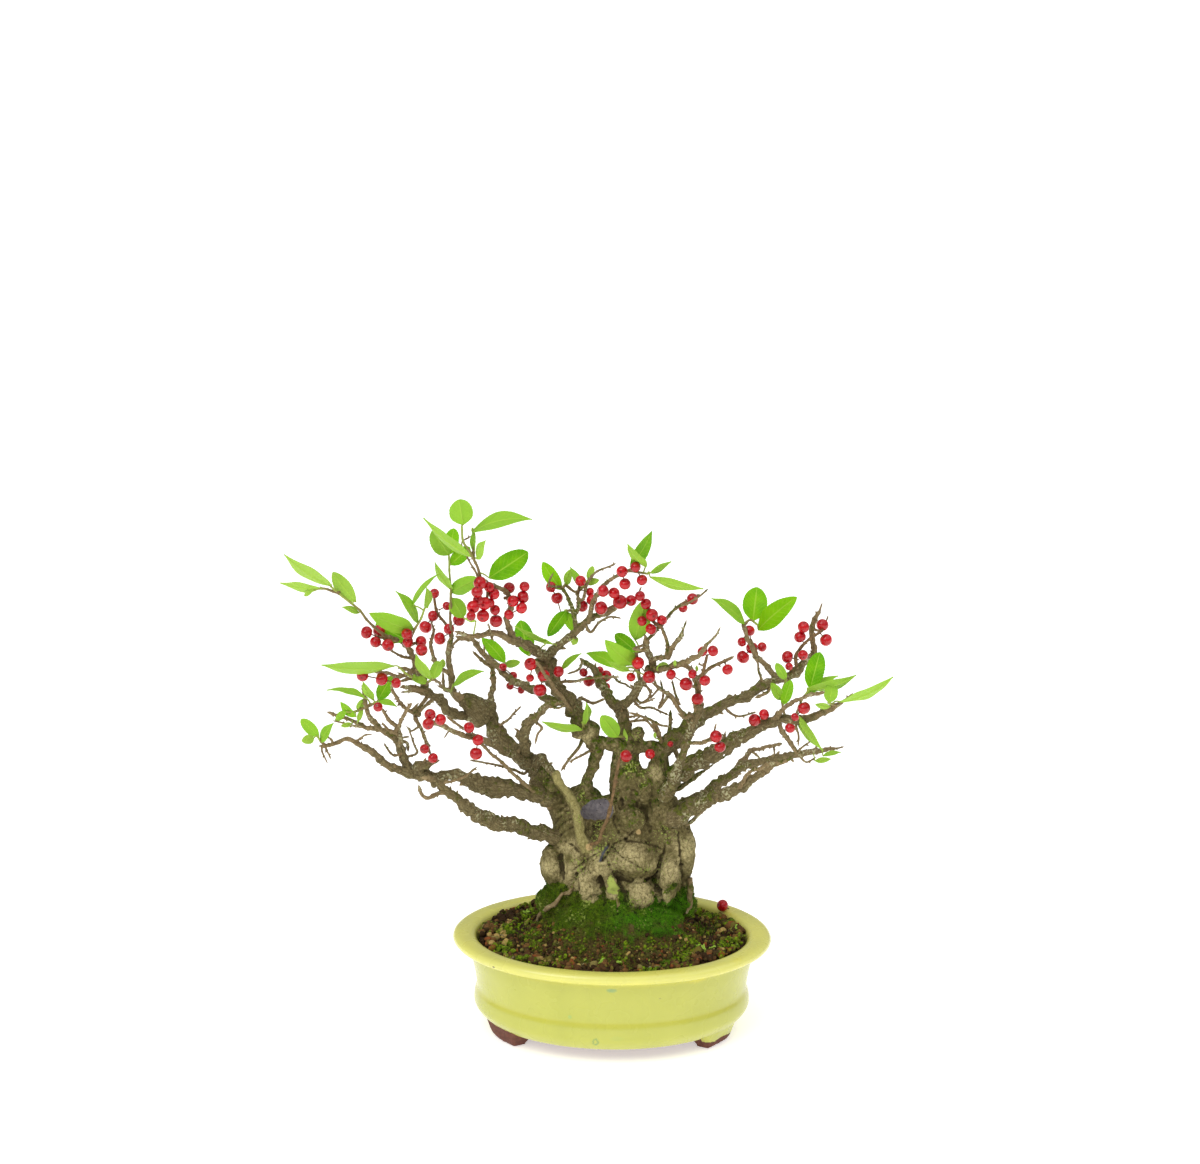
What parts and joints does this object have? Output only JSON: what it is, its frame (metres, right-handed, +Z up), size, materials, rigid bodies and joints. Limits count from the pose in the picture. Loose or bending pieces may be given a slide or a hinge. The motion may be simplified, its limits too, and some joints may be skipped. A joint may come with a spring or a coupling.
{
  "type": "potted bonsai tree",
  "caption": "Small winterberry bonsai with a swollen gnarled trunk, spreading limbs, toothed leaves and red berries, in an oval glazed pot.",
  "frame": {"origin": "middle of the whole plant's bounding box, at the underside of the pot's feet", "axes": "+Z up, front of the pot toward -Y, long side of the oval pot along X"},
  "size_m": [0.2896, 0.1568, 0.2842],
  "materials": {
    "glaze": "glossy pale yellow-green glaze",
    "soil": "coarse dark brown grains",
    "bark": "rough grey-brown bark with green growth",
    "leaf": "satin bright green leaf",
    "berry": "smooth glossy red skin"
  },
  "bodies": {
    "root": {"trunk": "bark", "limb_left_low": "bark", "limb_left_long": "bark", "limb_left_high": "bark", "limb_centre_left": "bark", "limb_centre": "bark", "limb_right_top": "bark", "limb_right_high": "bark", "limb_right_back": "bark", "limb_right_low": "bark", "limb_right_upright": "bark", "berries_left_outer": "berry", "berries_left_upper": "berry", "berries_back_left": "berry", "berries_left_edge": "berry", "berries_left_low": "berry", "berries_left_hanging": "berry", "berries_left_inner": "berry", "berries_crown_left": "berry", "berries_crown_left_mid": "berry", "berries_crown_back": "berry", "berries_crown_centre": "berry", "berries_crown_front": "berry", "berries_crown_right": "berry", "berries_centre_right": "berry", "berries_centre_left": "berry", "berries_back_inner": "berry", "berries_centre": "berry", "berries_centre_low": "berry", "berry_hanging": "berry", "berries_front_right": "berry", "berries_right_back": "berry", "berries_right_front": "berry", "berries_right_inner": "berry", "berries_right_upper": "berry", "berries_right_outer": "berry", "leaves_far_left": "leaf", "leaves_left_upper": "leaf", "leaves_crown_left": "leaf", "leaves_crown_left_back": "leaf", "leaves_crown_centre": "leaf", "leaves_centre_curled": "leaf", "leaves_centre_left": "leaf", "leaves_back_left": "leaf", "leaves_crown_right": "leaf", "leaves_centre_right": "leaf", "leaves_right_top": "leaf", "leaves_left_long": "leaf", "leaves_left_inner": "leaf", "leaves_left_edge": "leaf", "leaves_far_left_low": "leaf", "leaves_trunk_left": "leaf", "leaves_trunk_right": "leaf", "leaves_right_inner": "leaf", "leaves_right_spray": "leaf", "leaves_far_right": "leaf", "pot": "glaze", "soil": "soil", "fallen_berry": "berry"}
  },
  "joints": []
}
